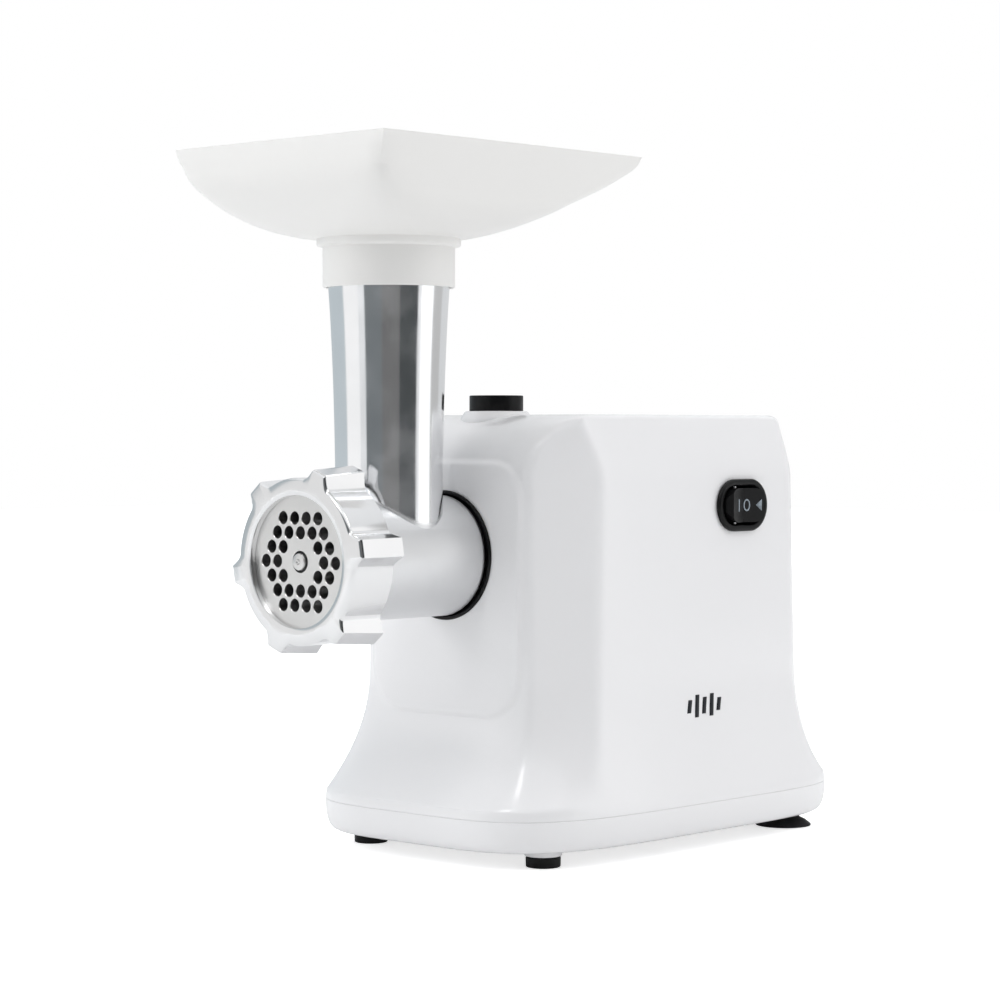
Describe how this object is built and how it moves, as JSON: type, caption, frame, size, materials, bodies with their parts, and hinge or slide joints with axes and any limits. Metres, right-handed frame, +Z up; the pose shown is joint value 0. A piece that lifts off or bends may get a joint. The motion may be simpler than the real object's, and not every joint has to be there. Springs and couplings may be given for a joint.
{
  "type": "electric meat grinder",
  "caption": "Electric meat grinder: a white plastic motor casing on feet, with a cast grinding head, screw ring and perforated plate in front and a hopper tray on its feed tube.",
  "frame": {"origin": "centre of the machine's overall box, on the surface it stands on", "axes": "+Z up; the grinding head points along -Y; +X is the side with the switch, and X = 0 is the middle plane of the head and the motor"},
  "size_m": [0.141, 0.274, 0.2773],
  "materials": {
    "gloss_white": "gloss moulded plastic",
    "tray_white": "satin moulded plastic",
    "black_plastic": "satin black plastic",
    "black_rubber": "matte black rubber",
    "polished_aluminium": "polished casting",
    "steel": "ground steel",
    "nylon": "natural nylon",
    "copper_winding": "enamelled copper wire",
    "laminated_iron": "laminated iron",
    "grey_plastic": "grey engineering plastic"
  },
  "bodies": {
    "casing": {"main_casing": "gloss_white", "base_tray": "gloss_white", "socket_ring": "black_plastic", "head_socket": "grey_plastic", "switch_bezel": "black_plastic", "rocker_pin": "steel", "cord_inlet_bush": "black_plastic", "front_foot_left": "black_rubber", "front_foot_right": "black_rubber", "suction_foot_left": "black_rubber", "suction_foot_right": "black_rubber", "base_screw_front_left": "steel", "base_screw_front_right": "steel", "base_screw_rear_left": "steel", "base_screw_rear_right": "steel", "button_spring": "steel", "latch_pin": "steel", "latch_bracket": "steel", "gearbox_housing": "grey_plastic", "gearbox_cover": "grey_plastic", "gearbox_screw_1": "steel", "gearbox_screw_2": "steel", "gearbox_screw_3": "steel", "output_bush": "steel", "second_layshaft_pin": "steel", "first_layshaft_pin": "steel", "motor_stator": "laminated_iron", "field_coil_left": "copper_winding", "field_coil_right": "copper_winding", "motor_end_bracket": "grey_plastic", "front_bearing": "steel", "rear_bearing": "steel", "motor_screw_left": "steel", "motor_screw_right": "steel", "carbon_brush_left": "black_plastic", "carbon_brush_right": "black_plastic"},
    "head": {"head_housing": "polished_aluminium", "auger_bush": "nylon"},
    "hopper": {"feed_tray": "tray_white"},
    "plate": {"cutting_plate": "steel"},
    "nut": {"ring_nut": "polished_aluminium"},
    "auger_drive": {"auger": "polished_aluminium", "cutting_knife": "steel", "output_shaft": "steel", "output_gear": "nylon"},
    "second_layshaft": {"third_stage_pinion": "steel", "second_stage_gear": "nylon"},
    "first_layshaft": {"second_stage_pinion": "steel", "first_stage_gear": "nylon"},
    "motor": {"motor_pinion": "steel", "motor_shaft": "steel", "cooling_fan": "nylon", "armature_core": "laminated_iron", "armature_winding_front": "copper_winding", "armature_winding_rear": "copper_winding", "commutator": "copper_winding"},
    "button": {"release_button": "black_plastic"},
    "lock_lever": {"latch_lever": "grey_plastic"},
    "rocker": {"switch_rocker": "black_plastic"}
  },
  "joints": [
    {"name": "motor_spin", "type": "hinge", "parent": "casing", "child": "motor", "pos_m": [0, 0.06, 0.05944], "axis": [0, 1, 0], "continuous": true},
    {"name": "first_layshaft_spin", "type": "hinge", "parent": "casing", "child": "first_layshaft", "pos_m": [0.002, 0, 0.08255], "axis": [0, 1, 0], "continuous": true},
    {"name": "second_layshaft_spin", "type": "hinge", "parent": "casing", "child": "second_layshaft", "pos_m": [-0.024, -0.01, 0.09422], "axis": [0, 1, 0], "continuous": true},
    {"name": "auger_spin", "type": "hinge", "parent": "casing", "child": "auger_drive", "pos_m": [0, -0.06, 0.1197], "axis": [0, 1, 0], "continuous": true},
    {"name": "rocker_tilt", "type": "hinge", "parent": "casing", "child": "rocker", "pos_m": [0.057, 0.0664, 0.1384], "axis": [0, 0, 1], "range_deg": [-8, 8]},
    {"name": "button_press", "type": "slide", "parent": "casing", "child": "button", "axis": [0, 0, -1], "range_m": [0, 0.003], "stiffness_N_per_m": 400, "springref_m": -0.005, "deforming": ["button_spring"]},
    {"name": "lock_lever_tilt", "type": "hinge", "parent": "casing", "child": "lock_lever", "pos_m": [0, -0.027, 0.158], "axis": [-1, 0, 0], "range_deg": [0, 16.4]},
    {"name": "head_twist", "type": "hinge", "parent": "casing", "child": "head", "pos_m": [0, -0.06, 0.1197], "axis": [0, -1, 0], "range_deg": [0, 30]},
    {"name": "hopper_lift", "type": "slide", "parent": "head", "child": "hopper", "axis": [0, 0, 1], "range_m": [0, 0.04]},
    {"name": "plate_draw", "type": "slide", "parent": "head", "child": "plate", "axis": [0, -1, 0], "range_m": [0, 0.009]},
    {"name": "nut_turn", "type": "hinge", "parent": "plate", "child": "nut", "pos_m": [0, -0.118, 0.1197], "axis": [0, -1, 0], "range_deg": [0, 1080]}
  ],
  "couplings": [
    {"joint": "first_layshaft_spin", "follows": "motor_spin", "ratio": -0.20833},
    {"joint": "second_layshaft_spin", "follows": "motor_spin", "ratio": 0.055556},
    {"joint": "auger_spin", "follows": "motor_spin", "ratio": -0.01358},
    {"joint": "lock_lever_tilt", "follows": "button_press", "rad_per_m": 95},
    {"joint": "plate_draw", "follows": "nut_turn", "m_per_rad": 0.00047746}
  ]
}
